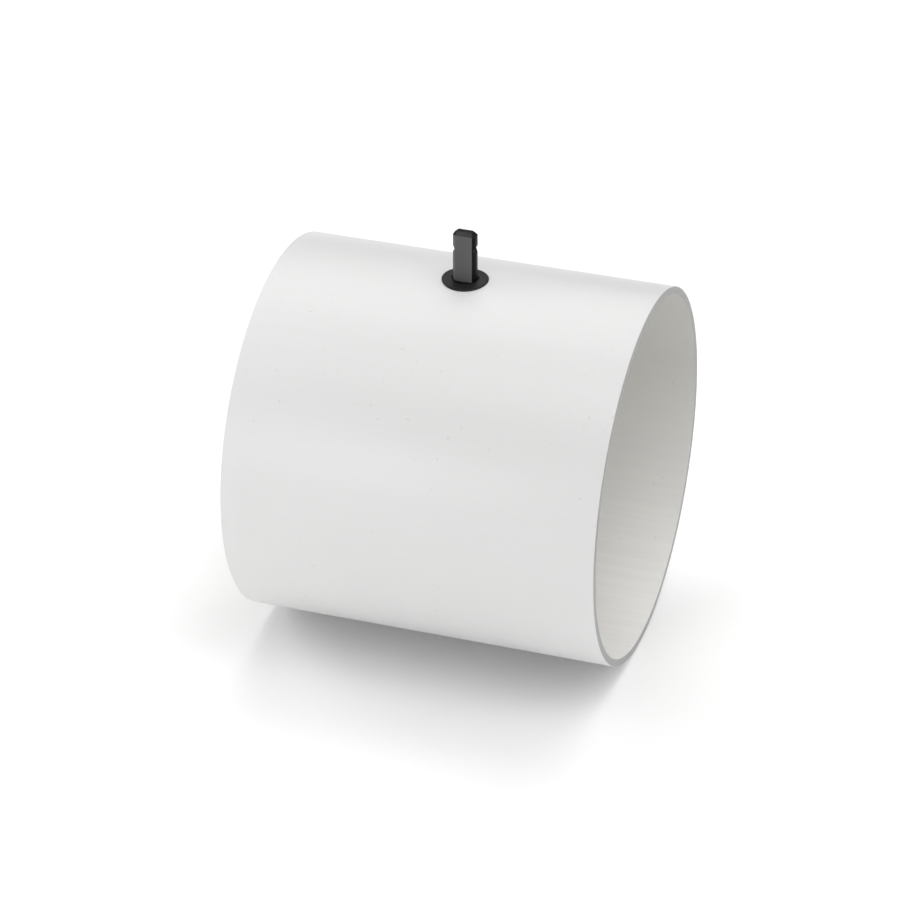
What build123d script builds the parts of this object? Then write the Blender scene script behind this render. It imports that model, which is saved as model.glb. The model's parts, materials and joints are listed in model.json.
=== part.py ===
from build123d import *
import os
from math import cos, radians, sin

# Round duct damper, closed. The origin is where the duct's axis crosses the spindle's axis,
# +X runs along the duct and +Z runs up the spindle. All sizes are in millimetres.

# Duct
duct_diameter = 150.0
wall_thickness = 3.0
duct_length = 149.0
end_chamfer = 0.3

# Bushes
flange_diameter = 18.2
flange_thickness = 0.8
flange_edge = 0.3
foot_thickness = 1.0
sleeve_diameter = 14.0
sleeve_end = 68.2
lower_sleeve_end = 67.1
bearing_clearance = 0.05
assembly_clearance = 0.1
seat_gap = 0.05
pocket_clearance = 0.3
foot_end_gap = 0.6
mouth_chamfer = 0.3

# Washers and snap rings that hold the bushes in the wall
washer_diameter = 19.2
washer_flat = 70.05
ring_diameter = 18.0
ring_thickness = 0.9
ring_low = 69.05
groove_radius = 6.2
ring_gap_angle = 44.0
ear_radius = 1.5
ear_hole_radius = 0.6

# Spindle, a flat bar with its wide sides along the duct
bar_width = 9.2
bar_thickness = 5.0
corner_chamfer = 1.25
spindle_top = 96.1
tip_bevel = 1.5
notch_height = 88.6
notch_depth = 0.9
notch_half_height = 1.4
journal_radius = 5.1
journal_low = 68.5
journal_high = 75.2
foot_journal_radius = 4.0
foot_journal_end = -74.0
o_ring_height = 72.0
o_ring_cord = 1.3
o_ring_groove_radius = 3.75

# Blade
blade_radius = 70.4
plate_thickness = 3.0
hub_radius = 9.0
hub_end = 66.0
notch_half_width = 10.4
rim_rib_radius = 63.0
rib_width = 2.0
rib_height = 2.5
rib_level = 22.0
boss_radius = 6.0
boss_height = 2.0
bar_clearance = 0.05

# Blade seals
seal_outer_radius = 71.6
seal_inner_radius = 64.7
seal_thickness = 2.0
recess_radius = 64.5

# Travel stops, as angles about the spindle from +X
travel = 90.0
stop_margin = 0.5
lug_half_angle = 60.0
lug_inner_radius = 5.5
lug_outer_radius = 7.0
lug_height = 2.0

# Fasteners
clamp_places = [(56.0, 0.0), (-56.0, 0.0), (15.5, 42.0), (-15.5, 42.0), (15.5, -42.0), (-15.5, -42.0)]
clamp_shank_radius = 1.95
clamp_head_radius = 3.6
clamp_head_height = 2.4
clamp_nut_flats = 7.0
clamp_nut_height = 3.2
clamp_washer_radius = 4.3
clamp_washer_thickness = 0.8
cross_shank_radius = 1.5
cross_head_radius = 2.8
cross_head_height = 1.8
cross_nut_flats = 5.5
cross_nut_height = 2.4
cross_seat = 6.6
thread_tail = 1.0
socket_share = 0.55

outer_radius = duct_diameter / 2
inner_radius = outer_radius - wall_thickness
flange_radius = flange_diameter / 2
sleeve_radius = sleeve_diameter / 2
half_width = bar_width / 2
half_bar = bar_thickness / 2
clamp_seat = plate_thickness + boss_height
beyond = 200.0

on_base = (Align.CENTER, Align.CENTER, Align.MIN)


def upright(radius, low, high):
    """Cylinder about the spindle's axis between two heights."""
    return Pos(0, 0, low) * Cylinder(radius, high - low, align=on_base)


def along_duct(radius, low, high, y=0.0, z=0.0):
    """Cylinder parallel to the duct between two places along it."""
    return Pos(low, y, z) * Rot(0, 90, 0) * Cylinder(radius, high - low, align=on_base)


def block(low_corner, high_corner):
    """Box between two opposite corners."""
    size = [high - low for low, high in zip(low_corner, high_corner)]
    centre = [(low + high) / 2 for low, high in zip(low_corner, high_corner)]
    return Pos(*centre) * Box(*size)


def sector(radius, start, end, low, high):
    """Slice of a cylinder about the spindle's axis between two angles, in steps below a half turn."""
    steps = 4
    step = (end - start) / steps
    reach = 2 * radius
    outline = [(0.0, 0.0)]
    for count in range(steps + 1):
        angle = radians(start + count * step)
        outline.append((reach * cos(angle), reach * sin(angle)))
    wedge = extrude(make_face(Polyline(*outline, close=True)), high - low)
    return upright(radius, low, high) & (Pos(0, 0, low) * wedge)


def hexagon(flats, low, height, y=0.0, z=0.0):
    """Hexagon bar parallel to the duct."""
    profile = RegularPolygon(flats / 2, 6, major_radius=False)
    return Pos(low, y, z) * Rot(0, 90, 0) * extrude(profile, height)


def hexagon_nut(flats, low, height, bore_radius, y=0.0, z=0.0):
    """Hexagon nut whose axis is parallel to the duct."""
    return hexagon(flats, low, height, y, z) - along_duct(bore_radius, low, low + height, y, z)


def degrees_at(arc, radius):
    """Angle, in degrees, that an arc of a given length takes up at a radius."""
    return arc / radius / radians(1.0)


def socket_screw(shank_radius, head_radius, seat, head_height, tail, y, z):
    """Round-head screw along the duct, with its head towards +X and a hexagon socket in the head."""
    head = along_duct(head_radius, seat, seat + head_height, y, z)
    head = chamfer(head.edges().group_by(Axis.X)[-1], head_height / 5)
    depth = head_height * socket_share
    socket = extrude(RegularPolygon(head_radius * socket_share, 6), depth + 1)
    socket = Pos(seat + head_height - depth, y, z) * Rot(0, 90, 0) * socket
    return head + along_duct(shank_radius, tail, seat, y, z) - socket


def make_duct_tube():
    tube = along_duct(outer_radius, -duct_length / 2, duct_length / 2)
    tube = chamfer(tube.edges().filter_by(GeomType.CIRCLE), end_chamfer)
    tube -= along_duct(inner_radius, -duct_length, duct_length)
    return tube - upright(sleeve_radius + assembly_clearance, -beyond, beyond)


def saddle(skin_radius):
    """Everything inside a cylinder about the duct's axis, wide enough for a bush."""
    return along_duct(skin_radius, -2 * flange_radius, 2 * flange_radius)


def make_upper_bush():
    crown = outer_radius + flange_thickness
    flange = upright(flange_radius, inner_radius, beyond / 2) & saddle(crown)
    top_edge = flange.edges().filter_by(GeomType.LINE, reverse=True).group_by(Axis.Z)[-1]
    flange = chamfer(top_edge, flange_edge)
    flange -= saddle(outer_radius + seat_gap)
    sleeve = upright(sleeve_radius, sleeve_end, outer_radius + seat_gap * 2)
    sleeve -= ring_groove()
    bore_radius = journal_radius + bearing_clearance
    fixed_start = lug_half_angle + travel + stop_margin
    fixed_end = 360.0 - lug_half_angle - stop_margin
    lug = sector(lug_outer_radius, fixed_start, fixed_end, sleeve_end - lug_height, sleeve_end)
    lug -= upright(lug_inner_radius, 0, sleeve_end)
    body = flange + sleeve - upright(bore_radius, sleeve_end - 1, beyond / 2)
    mouth = Pos(0, 0, crown - mouth_chamfer) * Cone(bore_radius, bore_radius + 2, 2, align=on_base)
    return body - mouth + lug


def ring_groove():
    """Annular cut round a sleeve, a little taller than the snap ring."""
    low = ring_low - seat_gap
    high = ring_low + ring_thickness + seat_gap
    return upright(sleeve_radius + 1, low, high) - upright(groove_radius, low, high)


def make_saddle_washer():
    ring = upright(washer_diameter / 2, washer_flat, outer_radius)
    ring -= upright(sleeve_radius + assembly_clearance, washer_flat, outer_radius)
    return ring & saddle(inner_radius - seat_gap)


def make_retaining_ring():
    high = ring_low + ring_thickness
    ring = upright(ring_diameter / 2, ring_low, high)
    ring -= sector(ring_diameter, -ring_gap_angle / 2, ring_gap_angle / 2, ring_low, high)
    ear_reach = ring_diameter / 2 - ear_radius
    for side in (-1, 1):
        turn = Rot(0, 0, side * (ring_gap_angle / 2 + degrees_at(ear_radius, ear_reach)))
        ring += turn * Pos(ear_reach, 0, 0) * upright(ear_radius, ring_low, high)
        ring -= turn * Pos(ear_reach, 0, 0) * upright(ear_hole_radius, ring_low, high)
    return ring - upright(groove_radius + seat_gap, ring_low, high)


def upside_down(shape):
    """The same shape below the duct's axis, turned about X, so it keeps its hand."""
    return Rot(180, 0, 0) * shape


def make_lower_bush():
    sole = outer_radius + foot_thickness
    flange = upright(flange_radius, inner_radius, sole)
    flange = chamfer(flange.edges().group_by(Axis.Z)[-1], flange_edge)
    flange -= saddle(outer_radius + seat_gap)
    sleeve = upright(sleeve_radius, lower_sleeve_end, outer_radius + seat_gap * 2)
    sleeve -= ring_groove()
    bore_radius = foot_journal_radius + bearing_clearance
    bore = upright(bore_radius, lower_sleeve_end - 1, foot_end_gap - foot_journal_end)
    return upside_down(flange + sleeve - bore)


def bar_outline():
    """Section of the spindle's bar, with cut corners."""
    return make_face(Polyline(
        (half_width, half_bar - corner_chamfer),
        (half_width - corner_chamfer, half_bar),
        (corner_chamfer - half_width, half_bar),
        (-half_width, half_bar - corner_chamfer),
        (-half_width, corner_chamfer - half_bar),
        (corner_chamfer - half_width, -half_bar),
        (half_width - corner_chamfer, -half_bar),
        (half_width, corner_chamfer - half_bar),
        close=True,
    ))


def make_spindle():
    shaft = Pos(0, 0, -hub_end) * extrude(bar_outline(), spindle_top + hub_end)
    shaft = chamfer(shaft.edges().group_by(Axis.Z)[-1], tip_bevel)
    shaft += upright(journal_radius, journal_low, journal_high)
    shaft += upright(foot_journal_radius, foot_journal_end, -hub_end)
    half_groove = o_ring_cord / 2 + assembly_clearance
    groove = upright(2 * journal_radius, o_ring_height - half_groove, o_ring_height + half_groove)
    shaft -= groove - upright(o_ring_groove_radius, -beyond, beyond)
    profile = make_face(Polyline(
        (half_width - notch_depth, notch_height),
        (half_width + notch_depth, notch_height + 2 * notch_half_height),
        (half_width + notch_depth, notch_height - 2 * notch_half_height),
        close=True,
    ))
    notch = extrude(Plane.XZ * profile, bar_thickness, both=True)
    shaft -= notch + mirror(notch, Plane.YZ)
    return shaft - along_duct(cross_shank_radius + assembly_clearance, -bar_width, bar_width)


def make_spindle_o_ring():
    cord_radius = o_ring_cord / 2
    return Pos(0, 0, o_ring_height) * Torus(journal_radius - cord_radius, cord_radius)


def make_thrust_washer():
    low = -lower_sleeve_end + assembly_clearance
    bore = upright(foot_journal_radius + bearing_clearance, low, -hub_end)
    return upright(sleeve_radius, low, -hub_end) - bore


def bush_notches(reach):
    """Blocks that cut the blade away round the inner end of each bush."""
    upper = block((-reach, -notch_half_width, hub_end), (reach, notch_half_width, beyond))
    return upper + upside_down(upper)


def make_blade_half():
    """Half of the blade on the +X side, before the cuts for the cross screw."""
    half_seal = seal_thickness / 2
    half = along_duct(recess_radius, 0, half_seal)
    half += along_duct(blade_radius, half_seal, plate_thickness)
    rib_top = plate_thickness + rib_height
    half += along_duct(rim_rib_radius, plate_thickness, rib_top)
    half -= along_duct(rim_rib_radius - rib_width, plate_thickness, rib_top)
    rib_reach = rim_rib_radius - rib_width / 2
    for level in (-rib_level, 0.0, rib_level):
        reach = (rib_reach**2 - level**2) ** 0.5
        low_corner = (plate_thickness, -reach, level - rib_width / 2)
        half += block(low_corner, (rib_top, reach, level + rib_width / 2))
    for y, z in clamp_places:
        half -= along_duct(boss_radius, plate_thickness, rib_top, y, z)
        half += along_duct(boss_radius, plate_thickness, clamp_seat, y, z)
    half -= bush_notches(beyond)
    half += upright(hub_radius, -hub_end, hub_end) & block((0, -beyond, -beyond), (beyond, beyond, beyond))
    for y, z in clamp_places:
        half -= along_duct(clamp_shank_radius + assembly_clearance, -1, clamp_seat, y, z)
    depth = half_width + bar_clearance
    side = half_bar + bar_clearance
    return half - block((-1, -side, -beyond), (depth, side, beyond))


def make_blade_front():
    half = make_blade_half()
    lug_top = hub_end + lug_height - stop_margin / 2
    lug = sector(lug_outer_radius, -lug_half_angle, lug_half_angle, hub_end, lug_top)
    half += lug - upright(lug_inner_radius, hub_end, beyond)
    half -= along_duct(cross_head_radius + pocket_clearance, cross_seat, hub_radius + 1)
    return half - along_duct(cross_shank_radius + assembly_clearance, 0, cross_seat)


def make_blade_rear():
    half = Rot(0, 0, 180) * make_blade_half()
    half -= hexagon(cross_nut_flats + pocket_clearance, -hub_radius - 1, hub_radius + 1 - cross_seat)
    return half - along_duct(cross_shank_radius + assembly_clearance, -beyond, 0)


def make_blade_seal(side):
    """Rubber strip round the rim on the +Y side (side 1) or the -Y side (side -1)."""
    half_seal = seal_thickness / 2
    strip = along_duct(seal_outer_radius, -half_seal, half_seal)
    strip -= along_duct(seal_inner_radius, -half_seal, half_seal)
    near = side * notch_half_width
    far = side * beyond
    return strip & block((-half_seal, min(near, far), -beyond), (half_seal, max(near, far), beyond))


def make_blade_screws():
    head_seat = clamp_seat + clamp_washer_thickness
    tail = -(clamp_seat + clamp_nut_height + thread_tail)
    return [
        socket_screw(clamp_shank_radius, clamp_head_radius, head_seat, clamp_head_height, tail, y, z)
        for y, z in clamp_places
    ]


def make_blade_washers():
    top = clamp_seat + clamp_washer_thickness
    bore = clamp_shank_radius + assembly_clearance
    return [
        along_duct(clamp_washer_radius, clamp_seat, top, y, z) - along_duct(bore, clamp_seat, top, y, z)
        for y, z in clamp_places
    ]


def make_blade_nuts():
    bore = clamp_shank_radius + bearing_clearance
    return [
        hexagon_nut(clamp_nut_flats, -clamp_seat - clamp_nut_height, clamp_nut_height, bore, y, z)
        for y, z in clamp_places
    ]


def make_spindle_screw():
    tail = -(cross_seat + cross_nut_height)
    return socket_screw(cross_shank_radius, cross_head_radius, cross_seat, cross_head_height, tail, 0, 0)


def make_spindle_nut():
    bore = cross_shank_radius + bearing_clearance
    return hexagon_nut(cross_nut_flats, -cross_seat - cross_nut_height, cross_nut_height, bore)


parts = {
    "duct_tube": make_duct_tube(),
    "upper_bush": make_upper_bush(),
    "upper_saddle_washer": make_saddle_washer(),
    "upper_retaining_ring": make_retaining_ring(),
    "lower_bush": make_lower_bush(),
    "lower_saddle_washer": upside_down(make_saddle_washer()),
    "lower_retaining_ring": upside_down(make_retaining_ring()),
    "spindle": make_spindle(),
    "spindle_o_ring": make_spindle_o_ring(),
    "thrust_washer": make_thrust_washer(),
    "blade_front": make_blade_front(),
    "blade_rear": make_blade_rear(),
    "left_blade_seal": make_blade_seal(1),
    "right_blade_seal": make_blade_seal(-1),
    "blade_screws": Compound(make_blade_screws()),
    "blade_washers": Compound(make_blade_washers()),
    "blade_nuts": Compound(make_blade_nuts()),
    "spindle_screw": make_spindle_screw(),
    "spindle_nut": make_spindle_nut(),
}

os.makedirs("parts", exist_ok=True)
for name, shape in parts.items():
    export_step(shape, f"parts/{name}.step")
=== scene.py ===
import json
import math

import bmesh
import bpy
from mathutils import Matrix, Quaternion, Vector


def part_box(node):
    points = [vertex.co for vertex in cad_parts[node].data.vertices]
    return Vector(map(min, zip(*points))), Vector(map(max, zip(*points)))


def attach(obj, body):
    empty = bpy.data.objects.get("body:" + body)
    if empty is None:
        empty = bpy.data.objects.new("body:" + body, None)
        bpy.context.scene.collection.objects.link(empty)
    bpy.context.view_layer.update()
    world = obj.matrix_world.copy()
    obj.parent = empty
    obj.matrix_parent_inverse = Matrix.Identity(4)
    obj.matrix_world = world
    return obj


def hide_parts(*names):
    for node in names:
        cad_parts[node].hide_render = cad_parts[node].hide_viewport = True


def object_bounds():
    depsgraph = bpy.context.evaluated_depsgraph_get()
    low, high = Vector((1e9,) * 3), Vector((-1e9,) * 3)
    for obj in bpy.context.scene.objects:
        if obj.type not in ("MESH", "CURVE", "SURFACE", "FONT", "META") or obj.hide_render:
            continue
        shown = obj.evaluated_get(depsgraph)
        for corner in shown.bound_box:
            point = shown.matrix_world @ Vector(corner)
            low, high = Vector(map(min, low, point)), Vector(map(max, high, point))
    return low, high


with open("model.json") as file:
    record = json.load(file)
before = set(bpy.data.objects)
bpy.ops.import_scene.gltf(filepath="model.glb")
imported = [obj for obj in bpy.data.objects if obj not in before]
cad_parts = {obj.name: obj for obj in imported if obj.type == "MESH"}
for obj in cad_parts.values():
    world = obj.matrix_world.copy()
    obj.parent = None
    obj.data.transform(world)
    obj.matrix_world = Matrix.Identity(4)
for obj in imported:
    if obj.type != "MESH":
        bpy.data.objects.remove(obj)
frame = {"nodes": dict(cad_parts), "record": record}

cad_low, cad_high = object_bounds()
MM = 0.001

# ---------------------------------------------------------------- camera and light

# The viewer goes round AIM at DISTANCE, in metres; the lens is in millimetres.
AZIMUTH = math.radians(18.16)
ELEVATION = math.radians(30.66)
DISTANCE = 1.4532
AIM = Vector((-0.00556, -0.00258, -0.00118))
LENS = 147.26
PIPE_ROLL = math.radians(0.5)

# Far soft boxes, group: (W/m2 of each, width in degrees, directions).
# A direction is the azimuth from the front and the elevation, in degrees.
FAR_LIGHTS = {
    "low_front": (0.8, 30, [(-20, 12), (30, 12)]),
    "overhead": (0.65, 38, [(0, 70), (90, 65)]),
    "rear": (0.6, 36, [(-150, 60), (150, 60), (180, 35)]),
    "right": (0.4, 40, [(75, 42), (115, 25)]),
}
FAR = 2.0

# The one near soft box: azimuth, elevation, distance, side, watts
NEAR_LIGHT = (-90, 25, 0.8, 0.6, 3.3)


def aim(item, direction):
    """Turns a camera or a lamp so that it looks along a direction, with its top up."""
    item.rotation_mode = "QUATERNION"
    item.rotation_quaternion = direction.to_track_quat("-Z", "Y")


def seen_from(azimuth, elevation):
    """Direction from the object to a viewer or a lamp; azimuth 0 is its front."""
    return Vector((
        math.sin(azimuth) * math.cos(elevation),
        -math.cos(azimuth) * math.cos(elevation),
        math.sin(elevation),
    ))


def add_camera():
    """Camera where the photographer's was, beside the closed damper."""
    lens = bpy.data.cameras.new("photo_camera")
    lens.sensor_width = 36.0
    lens.lens = LENS
    lens.clip_start = 0.05
    lens.clip_end = 100.0
    camera = bpy.data.objects.new("photo_camera", lens)
    bpy.context.scene.collection.objects.link(camera)
    back = seen_from(AZIMUTH, ELEVATION)
    aim(camera, -back)
    # The pictured pipe lies rolled towards the viewer, so the viewer goes round it by as much.
    roll = Quaternion((1.0, 0.0, 0.0), -PIPE_ROLL)
    camera.location = roll @ (AIM + back * DISTANCE)
    camera.rotation_quaternion = roll @ camera.rotation_quaternion
    bpy.context.scene.camera = camera


def add_lamp(name, kind, azimuth, elevation, distance):
    """Lamp that looks at the object from some side; cameras don't see the lamp itself."""
    lamp = bpy.data.lights.new(name, kind)
    box = bpy.data.objects.new(name, lamp)
    bpy.context.scene.collection.objects.link(box)
    side = seen_from(math.radians(azimuth), math.radians(elevation))
    box.location = side * distance
    box.visible_camera = False
    aim(box, -side)
    return lamp


def add_lights():
    """Far soft boxes, which light the whole floor evenly, and a near one on the left."""
    for group, (strength, width, directions) in FAR_LIGHTS.items():
        for azimuth, elevation in directions:
            lamp = add_lamp(f"{group}_box", "SUN", azimuth, elevation, FAR)
            lamp.angle = math.radians(width)
            lamp.energy = strength
    azimuth, elevation, distance, side, watts = NEAR_LIGHT
    lamp = add_lamp("left_box", "AREA", azimuth, elevation, distance)
    lamp.shape = "SQUARE"
    lamp.size = side
    lamp.energy = watts


def add_background():
    """White beyond the floor; it is seen but gives no light of its own."""
    world = bpy.data.worlds.new("studio")
    world.use_nodes = True
    tree = world.node_tree
    sky = tree.nodes["Background"]
    sky.inputs["Color"].default_value = (1.0, 1.0, 1.0, 1.0)
    rays = tree.nodes.new("ShaderNodeLightPath")
    tree.links.new(rays.outputs["Is Camera Ray"], sky.inputs["Strength"])
    bpy.context.scene.world = world
    bpy.context.scene.view_settings.view_transform = "Standard"


# ---------------------------------------------------------------- materials

FLOOR_WHITE = 0.94
PIPE_WHITE = 0.655

# The outside's tones end, and the inside's begin, at the middle of the pipe's wall.
PIPE_WALL = 3.0 * MM
WALL_MIDDLE = cad_high.y - PIPE_WALL / 2

# Heights between which the inside goes from its paler low tone to its greyer high one: painted light
# towards the bottom, painted shade towards the top
INSIDE_SHADE_HEIGHTS = (-70 * MM, 10 * MM)

# How far in from the pipe's ends the sawn look (saw marks, a rougher finish and a painted shade that
# darkens the end faces) fades out, and where it is full
SAWN_FADE = 0.12 * MM
SAWN_FULL = 0.05 * MM


class Look:
    """One node material round a principled shader, patterned in the piece's own space."""

    def __init__(self, name):
        self.material = bpy.data.materials.new(name)
        self.material.use_nodes = True
        self.tree = self.material.node_tree
        self.shader = self.tree.nodes["Principled BSDF"]
        self.place = self.add("ShaderNodeTexCoord").outputs["Object"]
        self.surface = None

    def add(self, kind, **settings):
        node = self.tree.nodes.new(kind)
        for key, value in settings.items():
            setattr(node, key, value)
        return node

    def feed(self, socket, value):
        """Links another node's output to a socket, or sets the socket's value."""
        if isinstance(value, bpy.types.NodeSocket):
            self.tree.links.new(value, socket)
        else:
            socket.default_value = value

    def noise(self, scale, stretch=(1.0, 1.0, 1.0), detail=2.0, shift=0.0):
        mapping = self.add("ShaderNodeMapping")
        self.feed(mapping.inputs["Vector"], self.place)
        mapping.inputs["Scale"].default_value = stretch
        mapping.inputs["Location"].default_value = (shift, shift, shift)
        node = self.add("ShaderNodeTexNoise")
        self.feed(node.inputs["Vector"], mapping.outputs["Vector"])
        node.inputs["Scale"].default_value = scale
        node.inputs["Detail"].default_value = detail
        return node.outputs["Fac"]

    def ramp(self, value, low, high, start=0.0, end=1.0):
        node = self.add("ShaderNodeMapRange", clamp=True)
        self.feed(node.inputs["Value"], value)
        node.inputs["From Min"].default_value = low
        node.inputs["From Max"].default_value = high
        node.inputs["To Min"].default_value = start
        node.inputs["To Max"].default_value = end
        return node.outputs["Result"]

    def maths(self, operation, first, second=0.0):
        node = self.add("ShaderNodeMath", operation=operation)
        self.feed(node.inputs[0], first)
        self.feed(node.inputs[1], second)
        return node.outputs["Value"]

    def blend(self, share, first, second):
        node = self.add("ShaderNodeMix", data_type="RGBA")
        self.feed(node.inputs[0], share)
        self.feed(node.inputs[6], first)
        self.feed(node.inputs[7], second)
        return node.outputs[2]

    def duct_radius(self):
        """Distance from the duct's axis."""
        flat = self.add("ShaderNodeVectorMath", operation="MULTIPLY")
        self.feed(flat.inputs[0], self.place)
        flat.inputs[1].default_value = (0.0, 1.0, 1.0)
        node = self.add("ShaderNodeVectorMath", operation="LENGTH")
        self.feed(node.inputs[0], flat.outputs["Vector"])
        return node.outputs["Value"]

    def facing(self, direction):
        """How squarely a face looks along a direction of the piece's own, either way."""
        node = self.add("ShaderNodeVectorMath", operation="DOT_PRODUCT")
        self.feed(node.inputs[0], self.add("ShaderNodeTexCoord").outputs["Normal"])
        node.inputs[1].default_value = direction
        return self.maths("ABSOLUTE", node.outputs["Value"])

    def axis(self, name):
        node = self.add("ShaderNodeSeparateXYZ")
        self.feed(node.inputs["Vector"], self.place)
        return node.outputs[name]

    def bump(self, height, distance, strength=1.0):
        node = self.add("ShaderNodeBump")
        node.inputs["Strength"].default_value = strength
        node.inputs["Distance"].default_value = distance
        self.feed(node.inputs["Height"], height)
        if self.surface is not None:
            self.feed(node.inputs["Normal"], self.surface)
        self.surface = node.outputs["Normal"]

    def edges(self, radius):
        """1 along the outer and inner edges of the piece, 0 on its faces."""
        rounded = self.add("ShaderNodeBevel", samples=6)
        rounded.inputs["Radius"].default_value = radius
        geometry = self.add("ShaderNodeNewGeometry")
        node = self.add("ShaderNodeVectorMath", operation="DOT_PRODUCT")
        self.feed(node.inputs[0], rounded.outputs["Normal"])
        self.feed(node.inputs[1], geometry.outputs["Normal"])
        return self.ramp(node.outputs["Value"], 0.995, 0.90)

    def done(self, colour, roughness, **shader):
        self.feed(self.shader.inputs["Base Color"], colour)
        self.feed(self.shader.inputs["Roughness"], roughness)
        if self.surface is not None:
            self.feed(self.shader.inputs["Normal"], self.surface)
        for name, value in shader.items():
            self.shader.inputs[name.replace("_", " ")].default_value = value
        return self.material


def grey(level, warmth=0.0):
    """Colour of one level; warmth takes that share off its blue."""
    return (level, level * (1 - warmth / 4), level * (1 - warmth), 1.0)


def white_pipe():
    """Extruded white plastic: faint lines along the duct, small specks and rubs, sawn end faces
    darkened by painted shade, a painted highlight along the edges and painted light and shade inside.
    """
    look = Look("white_pipe")
    lines = look.noise(420.0, (0.01, 1.0, 1.0), 3.0)
    broad = look.noise(14.0, (0.5, 1.0, 1.0), 2.0, 3.0)
    grain = look.noise(2600.0, detail=2.0)
    peel = look.noise(240.0, (0.5, 1.0, 1.0), 2.0, 5.0)
    patches = look.noise(30.0, detail=3.0, shift=9.0)
    rubs = look.noise(900.0, (0.2, 1.0, 0.7), 4.0, 11.0)
    specks = look.noise(560.0, detail=1.0, shift=17.0)
    worn = look.maths("MULTIPLY", look.ramp(patches, 0.52, 0.68), look.ramp(rubs, 0.58, 0.68))
    crowding = look.ramp(patches, 0.4, 0.6, 0.25, 1.0)
    dirty = look.maths("MULTIPLY", look.ramp(specks, 0.735, 0.775), crowding)
    tone = look.ramp(broad, 0.3, 0.7)
    outside = look.blend(tone, grey(PIPE_WHITE * 0.99, 0.006), grey(PIPE_WHITE * 1.01, 0.002))
    # Painted light and shade inside: the inside wall is painted lighter towards the bottom and darker
    # towards the top.
    height = look.ramp(look.axis("Z"), *INSIDE_SHADE_HEIGHTS)
    inside = look.blend(height, grey(PIPE_WHITE * 1.26, 0.045), grey(PIPE_WHITE * 0.92, 0.075))
    inner = look.ramp(look.duct_radius(), WALL_MIDDLE + 0.3 * MM, WALL_MIDDLE - 0.3 * MM)
    colour = look.blend(inner, outside, inside)
    colour = look.blend(look.ramp(lines, 0.35, 0.65, 0.0, 0.2), colour, grey(PIPE_WHITE * 0.97, 0.01))
    colour = look.blend(look.maths("MULTIPLY", worn, 0.08), colour, grey(0.5, 0.02))
    colour = look.blend(look.maths("MULTIPLY", dirty, 0.24), colour, grey(0.3, 0.06))
    # Painted highlight: a paler line along the pipe's edges.
    colour = look.blend(look.maths("MULTIPLY", look.edges(0.3 * MM), 0.12), colour, grey(0.9, 0.01))
    along = look.maths("ABSOLUTE", look.axis("X"))
    cut = look.ramp(along, cad_high.x - SAWN_FADE, cad_high.x - SAWN_FULL)
    marks = look.noise(1500.0, (0.05, 1.0, 0.16), 3.0, 23.0)
    # The end faces' saw marks, with a painted shade that darkens them.
    sawn_and_shaded = look.blend(marks, grey(PIPE_WHITE * 0.48, 0.01), grey(PIPE_WHITE * 0.60, 0.01))
    colour = look.blend(cut, colour, sawn_and_shaded)
    rough = look.ramp(grain, 0.3, 0.7, 0.34, 0.42)
    rough = look.maths("ADD", rough, look.maths("MULTIPLY", worn, 0.15))
    rough = look.maths("ADD", rough, look.maths("MULTIPLY", cut, 0.25))
    look.bump(peel, 0.05 * MM, 0.2)
    look.bump(lines, 0.02 * MM, 0.1)
    look.bump(look.maths("MULTIPLY", marks, cut), 0.08 * MM, 0.5)
    return look.done(colour, rough, IOR=1.5)


def moulding(name, level, shine, grain_scale=1800.0, edge_wear_and_highlight=0.12, warmth=0.0, gloss=0.5, shaded_sides=1.0):
    """Moulded plastic with a fine skin, slightly uneven shine and paler edges, partly rubbed wear and
    partly a painted highlight.

    gloss is the shader's specular level. shaded_sides paints shade: the faces that don't look
    along Y get this share of the level, and the faces along Y keep a painted lit level.
    """
    look = Look(name)
    skin = look.noise(grain_scale, detail=3.0)
    flow = look.noise(160.0, (1.0, 1.0, 0.25), 3.0, 4.0)
    rubs = look.noise(700.0, (1.0, 1.0, 0.2), 3.0, 8.0)
    tone = look.ramp(flow, 0.3, 0.7)
    colour = look.blend(tone, grey(level * 0.95, warmth), grey(level * 1.05, warmth))
    # Painted shade: faces that don't look along Y are darkened, while those along Y keep a lit level.
    if shaded_sides < 1.0:
        corners = look.maths("MULTIPLY", look.facing((0.7, 0.7, 0.0)), 0.4)
        wide = look.ramp(look.maths("ADD", look.facing((0.0, 1.0, 0.0)), corners), 0.75, 1.1)
        colour = look.blend(wide, grey(level * shaded_sides, warmth), colour)
    # Paler edges, partly rubbed wear and partly a painted highlight.
    edge = look.maths("MULTIPLY", look.edges(0.25 * MM), look.ramp(rubs, 0.35, 0.65, 0.3, 1.0))
    colour = look.blend(look.maths("MULTIPLY", edge, edge_wear_and_highlight), colour, grey(level * 2 + 0.1, warmth))
    rough = look.ramp(flow, 0.3, 0.7, shine - 0.05, shine + 0.05)
    rough = look.maths("ADD", rough, look.maths("MULTIPLY", edge, -0.08))
    look.bump(skin, 0.03 * MM, 0.4)
    look.bump(rubs, 0.02 * MM, 0.2)
    return look.done(colour, rough, IOR=1.5, Specular_IOR_Level=gloss)


def rubber():
    """Dull black rubber, a little dusty, with a faint painted highlight along its edges."""
    look = Look("seal_rubber")
    skin = look.noise(1500.0, detail=4.0)
    dust = look.noise(220.0, detail=4.0, shift=6.0)
    edge = look.edges(0.2 * MM)
    colour = look.blend(look.ramp(dust, 0.45, 0.7), grey(0.022), grey(0.034, 0.05))
    # Painted highlight: a paler line along the rubber's edges.
    colour = look.blend(look.maths("MULTIPLY", edge, 0.2), colour, grey(0.07))
    look.bump(skin, 0.04 * MM, 0.5)
    return look.done(colour, look.ramp(dust, 0.3, 0.7, 0.62, 0.78))


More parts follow.
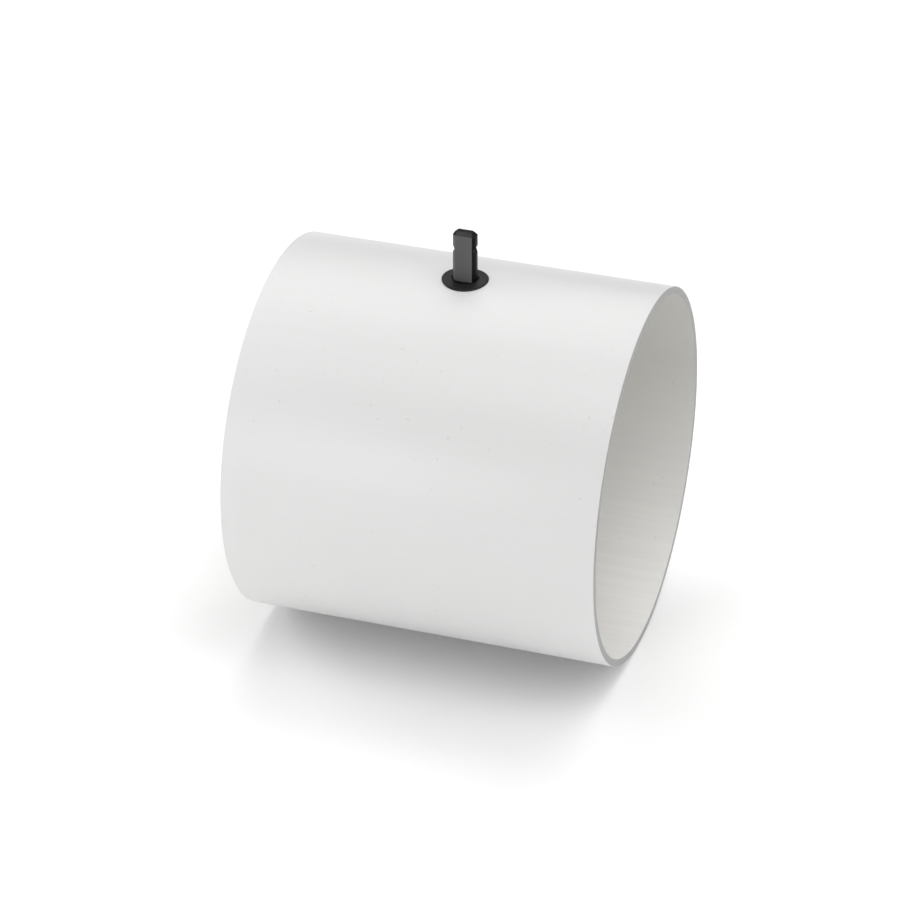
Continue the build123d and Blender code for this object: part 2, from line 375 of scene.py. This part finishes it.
def metal(name, level, shine, brushing, warmth=0.0):
    """Plated or phosphated steel with fine scratches and a painted highlight along its edges."""
    look = Look(name)
    blotches = look.noise(350.0, detail=4.0)
    scratches = look.noise(1800.0, brushing, 3.0, 7.0)
    edge = look.edges(0.15 * MM)
    colour = look.blend(look.ramp(blotches, 0.3, 0.7), grey(level * 0.88, warmth), grey(level, warmth))
    # Painted highlight: brighter edges.
    colour = look.blend(look.maths("MULTIPLY", edge, 0.5), colour, grey(min(level * 1.4, 0.9)))
    look.bump(scratches, 0.02 * MM, 0.3)
    rough = look.ramp(blotches, 0.3, 0.7, shine - 0.06, shine + 0.06)
    return look.done(colour, rough, Metallic=1.0)


def floor_finish():
    """Pale satin table."""
    look = Look("studio_floor")
    tone = look.noise(3.0, detail=2.0)
    colour = look.blend(tone, grey(FLOOR_WHITE * 0.995), grey(FLOOR_WHITE))
    look.bump(look.noise(900.0, detail=2.0), 0.01 * MM, 0.1)
    return look.done(colour, 0.6)


LOOKS = {
    "white_pipe": white_pipe(),
    "bush_black": moulding("bush_black", 0.010, 0.42, edge_wear_and_highlight=0.05, gloss=0.2),
    "spindle_black": moulding("spindle_black", 0.10, 0.45, 1200.0, 0.04, gloss=0.1, shaded_sides=0.06),
    "blade_grey": moulding("blade_grey", 0.42, 0.5, 1500.0, 0.3, 0.01),
    "natural_plastic": moulding("natural_plastic", 0.72, 0.4, 2000.0, 0.2, 0.08),
    "seal_rubber": rubber(),
    "spring_steel": metal("spring_steel", 0.22, 0.42, (1.0, 1.0, 0.2)),
    "zinc_steel": metal("zinc_steel", 0.62, 0.3, (1.0, 0.2, 0.2), 0.03),
}

# ---------------------------------------------------------------- pieces

WELD = 0.002 * MM
FLAT_ANGLE = math.radians(0.4)
CREASE_ANGLE = math.radians(35)

# Roundness, in straight steps round a whole circle
LATHE_STEPS = 480
CIRCLE_STEPS = 96

# Rounding of the pipe's sawn edges
OUTER_RIM = 0.35 * MM
INNER_RIM = 0.2 * MM

# The drill is turned a little, so that its corners miss the wall's, and longer than the pipe is wide.
DRILL_TURN = math.radians(1.3)
DRILL_LENGTH = 2.5 * cad_high.y
SLIVER = 0.001 * MM

FLOOR_RADIUS = 30.0


def place(mesh, name, look, body, nodes):
    """Makes the shown object for some CAD nodes: it rides on their body and hides them."""
    mesh.materials.clear()
    mesh.materials.append(LOOKS[look])
    for face in mesh.polygons:
        face.use_smooth = True
    piece = bpy.data.objects.new(name, mesh)
    bpy.context.scene.collection.objects.link(piece)
    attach(piece, body)
    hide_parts(*nodes)
    return piece


def soften(piece, width, segments=2, limit=32.0):
    """Rounds the sharp edges of a piece and keeps its faces flat-looking."""
    bevel = piece.modifiers.new("rounding", "BEVEL")
    bevel.width = width
    bevel.segments = segments
    bevel.limit_method = "ANGLE"
    bevel.angle_limit = math.radians(limit)
    bevel.use_clamp_overlap = True
    bevel.miter_outer = "MITER_ARC"
    normals = piece.modifiers.new("even_normals", "WEIGHTED_NORMAL")
    normals.keep_sharp = True
    return piece


def solid_copy(node):
    """Mesh of a CAD node with its seams welded and its flat faces whole."""
    mesh = bpy.data.meshes.new(f"{node}_mesh")
    shape = bmesh.new()
    shape.from_mesh(frame["nodes"][node].data)
    bmesh.ops.remove_doubles(shape, verts=shape.verts, dist=WELD)
    bmesh.ops.dissolve_limit(shape, angle_limit=FLAT_ANGLE, verts=shape.verts, edges=shape.edges)
    bmesh.ops.recalc_face_normals(shape, faces=shape.faces)
    shape.to_mesh(mesh)
    shape.free()
    return mesh


def lathe(profile, steps):
    """Closed ring round the X axis from a closed outline."""
    shape = bmesh.new()
    rings = []
    for step in range(steps):
        angle = 2 * math.pi * step / steps
        across, up = math.cos(angle), math.sin(angle)
        rings.append([
            shape.verts.new((along, radius * across, radius * up))
            for along, radius in profile
        ])
    for ring, following in zip(rings, rings[1:] + rings[:1]):
        for index in range(len(profile)):
            after = (index + 1) % len(profile)
            shape.faces.new((ring[index], ring[after], following[after], following[index]))
    bmesh.ops.recalc_face_normals(shape, faces=shape.faces)
    return shape


def corner(along, radius, size, inward, outward, steps=4):
    """Rounded corner of a lathe outline.

    inward and outward are the signs of X and of the radius towards the wall's inside.
    """
    points = []
    for step in range(steps + 1):
        angle = math.pi / 2 * step / steps
        points.append((
            along + inward * size * (1 - math.sin(angle)),
            radius + outward * size * (1 - math.cos(angle)),
        ))
    return points


def tube_outline(low, high, inside, outside):
    """Section of the pipe's wall, with softened rims, as (place along X, radius)."""
    outline = corner(high, outside, OUTER_RIM, -1, -1)
    outline += reversed(corner(high, inside, INNER_RIM, -1, 1))
    outline += corner(low, inside, INNER_RIM, 1, 1)
    outline += reversed(corner(low, outside, OUTER_RIM, 1, -1))
    return outline


def linked_object(name, shape):
    """Object in the scene from a bmesh, which is freed."""
    mesh = bpy.data.meshes.new(f"{name}_mesh")
    shape.to_mesh(mesh)
    shape.free()
    made = bpy.data.objects.new(name, mesh)
    bpy.context.scene.collection.objects.link(made)
    return made


def drill(radius):
    """Upright cylinder that cuts both bush holes."""
    shape = bmesh.new()
    bmesh.ops.create_cone(
        shape,
        cap_ends=True,
        segments=CIRCLE_STEPS,
        radius1=radius,
        radius2=radius,
        depth=DRILL_LENGTH,
        matrix=Matrix.Rotation(DRILL_TURN, 4, "Z"),
    )
    return linked_object("drill", shape)


def cut_through(blank, cutter):
    """Mesh of one object less another; both are used up."""
    cut = blank.modifiers.new("bush_holes", "BOOLEAN")
    cut.object = cutter
    cut.solver = "EXACT"
    bpy.context.view_layer.update()
    evaluated = blank.evaluated_get(bpy.context.evaluated_depsgraph_get())
    made = bpy.data.meshes.new_from_object(evaluated)
    bpy.data.objects.remove(blank)
    bpy.data.objects.remove(cutter)
    clean = bmesh.new()
    clean.from_mesh(made)
    bmesh.ops.remove_doubles(clean, verts=clean.verts, dist=SLIVER)
    bmesh.ops.dissolve_degenerate(clean, edges=clean.edges, dist=SLIVER)
    clean.to_mesh(made)
    clean.free()
    return made


def build_tube():
    """Pipe wall with softened saw-cut rims, cut through for the two bushes."""
    cad = [vertex.co for vertex in frame["nodes"]["duct_tube"].data.vertices]
    low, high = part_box("duct_tube")
    outside = high.z
    inside = min(math.hypot(point.y, point.z) for point in cad)
    hole = min(math.hypot(point.x, point.y) for point in cad)
    wall = lathe(tube_outline(low.x, high.x, inside, outside), LATHE_STEPS)
    made = cut_through(linked_object("duct_tube", wall), drill(hole))
    place(made, "duct_tube_shown", "white_pipe", "duct", ["duct_tube"])
    made.set_sharp_from_angle(angle=CREASE_ANGLE)


# CAD node: (look, material slot, edge rounding in mm)
FINISHES = {
    "upper_bush": ("bush_black", "black_moulding", 0.12),
    "upper_saddle_washer": ("seal_rubber", "seal_rubber", 0.12),
    "upper_retaining_ring": ("spring_steel", "spring_steel", 0.08),
    "lower_bush": ("bush_black", "black_moulding", 0.12),
    "lower_saddle_washer": ("seal_rubber", "seal_rubber", 0.12),
    "lower_retaining_ring": ("spring_steel", "spring_steel", 0.08),
    "spindle": ("spindle_black", "charcoal_moulding", 0.14),
    "spindle_o_ring": ("seal_rubber", "seal_rubber", 0.0),
    "thrust_washer": ("natural_plastic", "bearing_plastic", 0.08),
    "blade_front": ("blade_grey", "blade_moulding", 0.25),
    "blade_rear": ("blade_grey", "blade_moulding", 0.25),
    "left_blade_seal": ("seal_rubber", "seal_rubber", 0.3),
    "right_blade_seal": ("seal_rubber", "seal_rubber", 0.3),
    "blade_screws": ("zinc_steel", "zinc_steel", 0.15),
    "blade_washers": ("zinc_steel", "zinc_steel", 0.1),
    "blade_nuts": ("zinc_steel", "zinc_steel", 0.15),
    "spindle_screw": ("zinc_steel", "zinc_steel", 0.12),
    "spindle_nut": ("zinc_steel", "zinc_steel", 0.12),
}


def build_pieces():
    """Every other piece: its CAD solids with softened edges and its own look."""
    bodies = frame["record"]["behaviour"]["bodies"]
    for node, (look, slot, rounding) in FINISHES.items():
        body = "duct" if node in bodies["duct"] else "blade"
        piece = place(solid_copy(node), f"{node}_shown", look, body, [node])
        if rounding:
            soften(piece, rounding * MM)


def add_floor():
    """Large pale floor at the level of the lower bush's foot."""
    shape = bmesh.new()
    bmesh.ops.create_circle(shape, cap_ends=True, segments=CIRCLE_STEPS, radius=FLOOR_RADIUS)
    floor = linked_object("floor", shape)
    floor.data.materials.append(floor_finish())
    floor.location.z = cad_low.z


build_tube()
build_pieces()
add_floor()
add_camera()
add_lights()
add_background()
